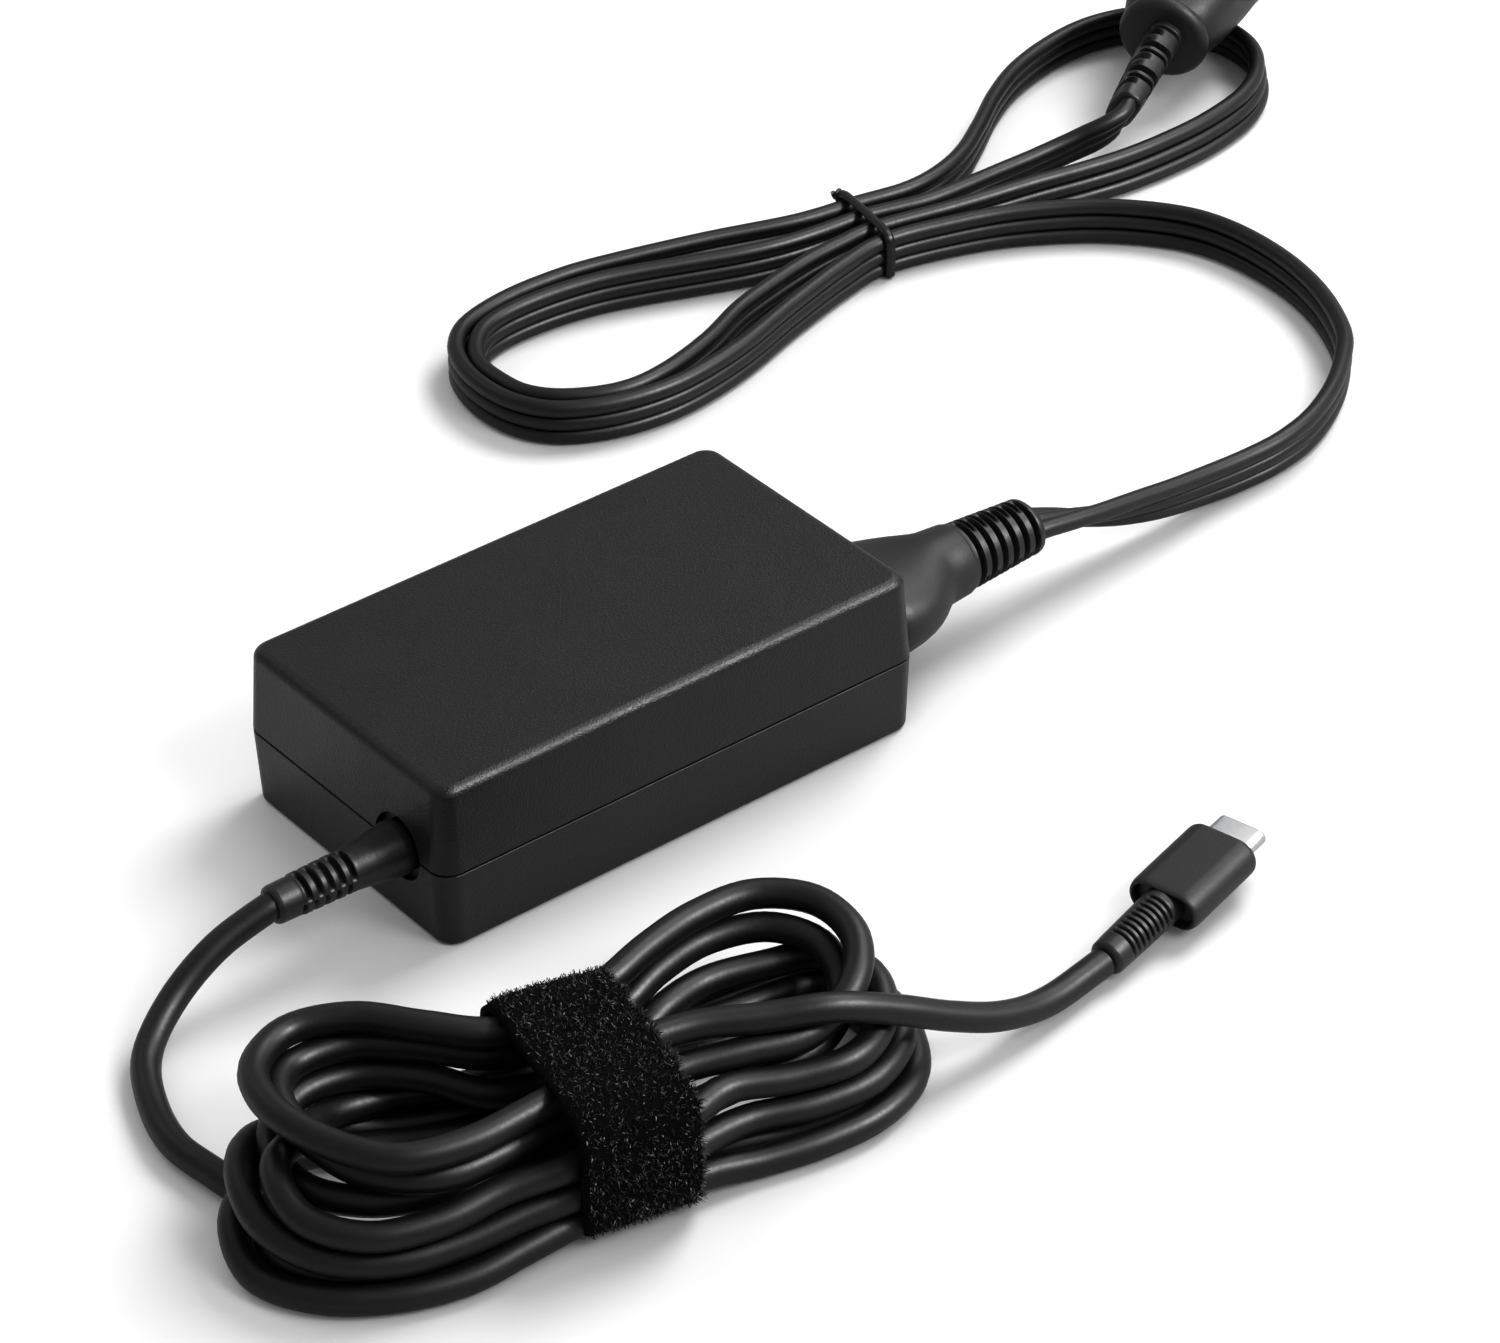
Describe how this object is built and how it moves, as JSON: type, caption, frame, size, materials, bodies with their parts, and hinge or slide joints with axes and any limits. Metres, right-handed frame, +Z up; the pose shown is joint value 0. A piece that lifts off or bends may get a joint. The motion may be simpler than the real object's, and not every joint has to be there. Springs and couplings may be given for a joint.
{
  "type": "laptop power adapter",
  "caption": "Black two-shell laptop power adapter with a wrapped, strapped DC cord ending in a USB-C plug and a detachable flat mains lead with a grounded plug.",
  "frame": {"origin": "centre of the case's footprint, on the table it stands on", "axes": "+X along the case towards the mains inlet, -Y is the long side that the DC cord is nearer, +Z up"},
  "size_m": [0.3602, 0.2251, 0.0291],
  "materials": {
    "case": "fine matte texture",
    "moulded": "satin moulded",
    "soft": "satin moulded",
    "cord_jacket": "satin jacket",
    "strap": "napped loop fabric",
    "tie": "semi-gloss",
    "brass": "satin",
    "nickel": "nickel plated",
    "steel": "plated",
    "contact": "satin",
    "board": "solder mask",
    "ceramic": "glazed",
    "film": "matte",
    "ferrite": "sintered",
    "copper": "enamelled",
    "semiconductor": "matte",
    "sleeve": "sleeved can",
    "sink": "mill",
    "blue": "coated",
    "white": "matte",
    "tape": "taped",
    "green": "coated"
  },
  "bodies": {
    "adapter": {"top_shell": "case", "bottom_shell": "case", "circuit_board": "board", "output_control_board": "board", "ac_inlet_body": "moulded", "inlet_pin_line": "brass", "inlet_pin_neutral": "brass", "inlet_pin_earth": "brass", "fuse": "ceramic", "x_capacitor": "film", "choke_core": "ferrite", "choke_winding": "copper", "bridge_rectifier": "semiconductor", "bulk_capacitor": "sleeve", "transformer_core": "ferrite", "transformer_winding": "tape", "switching_transistor": "semiconductor", "primary_heat_sink": "sink", "safety_capacitor": "blue", "secondary_heat_sink": "sink", "output_capacitor_1": "sleeve", "output_capacitor_2": "sleeve", "output_inductor": "ferrite", "optocoupler": "white", "inrush_thermistor": "green", "dc_strain_relief": "soft", "dc_cord_from_case": "cord_jacket", "dc_cord_hank": "cord_jacket", "dc_cord_to_plug": "cord_jacket", "cord_strap": "strap", "usb_c_strain_relief": "soft", "usb_c_overmould": "moulded", "usb_c_shell": "steel", "usb_c_contact_tongue": "contact"},
    "mains_lead": {"c5_connector_body": "moulded", "c5_contact_line": "brass", "c5_contact_neutral": "brass", "c5_contact_earth": "brass", "c5_strain_relief": "soft", "mains_cord_from_connector": "cord_jacket", "mains_cord_hank": "cord_jacket", "mains_cord_right_lobe": "cord_jacket", "mains_cord_to_plug": "cord_jacket", "cord_tie": "tie", "mains_plug_strain_relief": "soft", "mains_plug_body": "moulded", "mains_plug_blade_line": "nickel", "mains_plug_blade_neutral": "nickel", "mains_plug_ground_pin": "nickel"}
  },
  "joints": [
    {"name": "mains_lead_pull", "type": "slide", "parent": "adapter", "child": "mains_lead", "axis": [1, 0, 0], "range_m": [0, 0.03]}
  ]
}
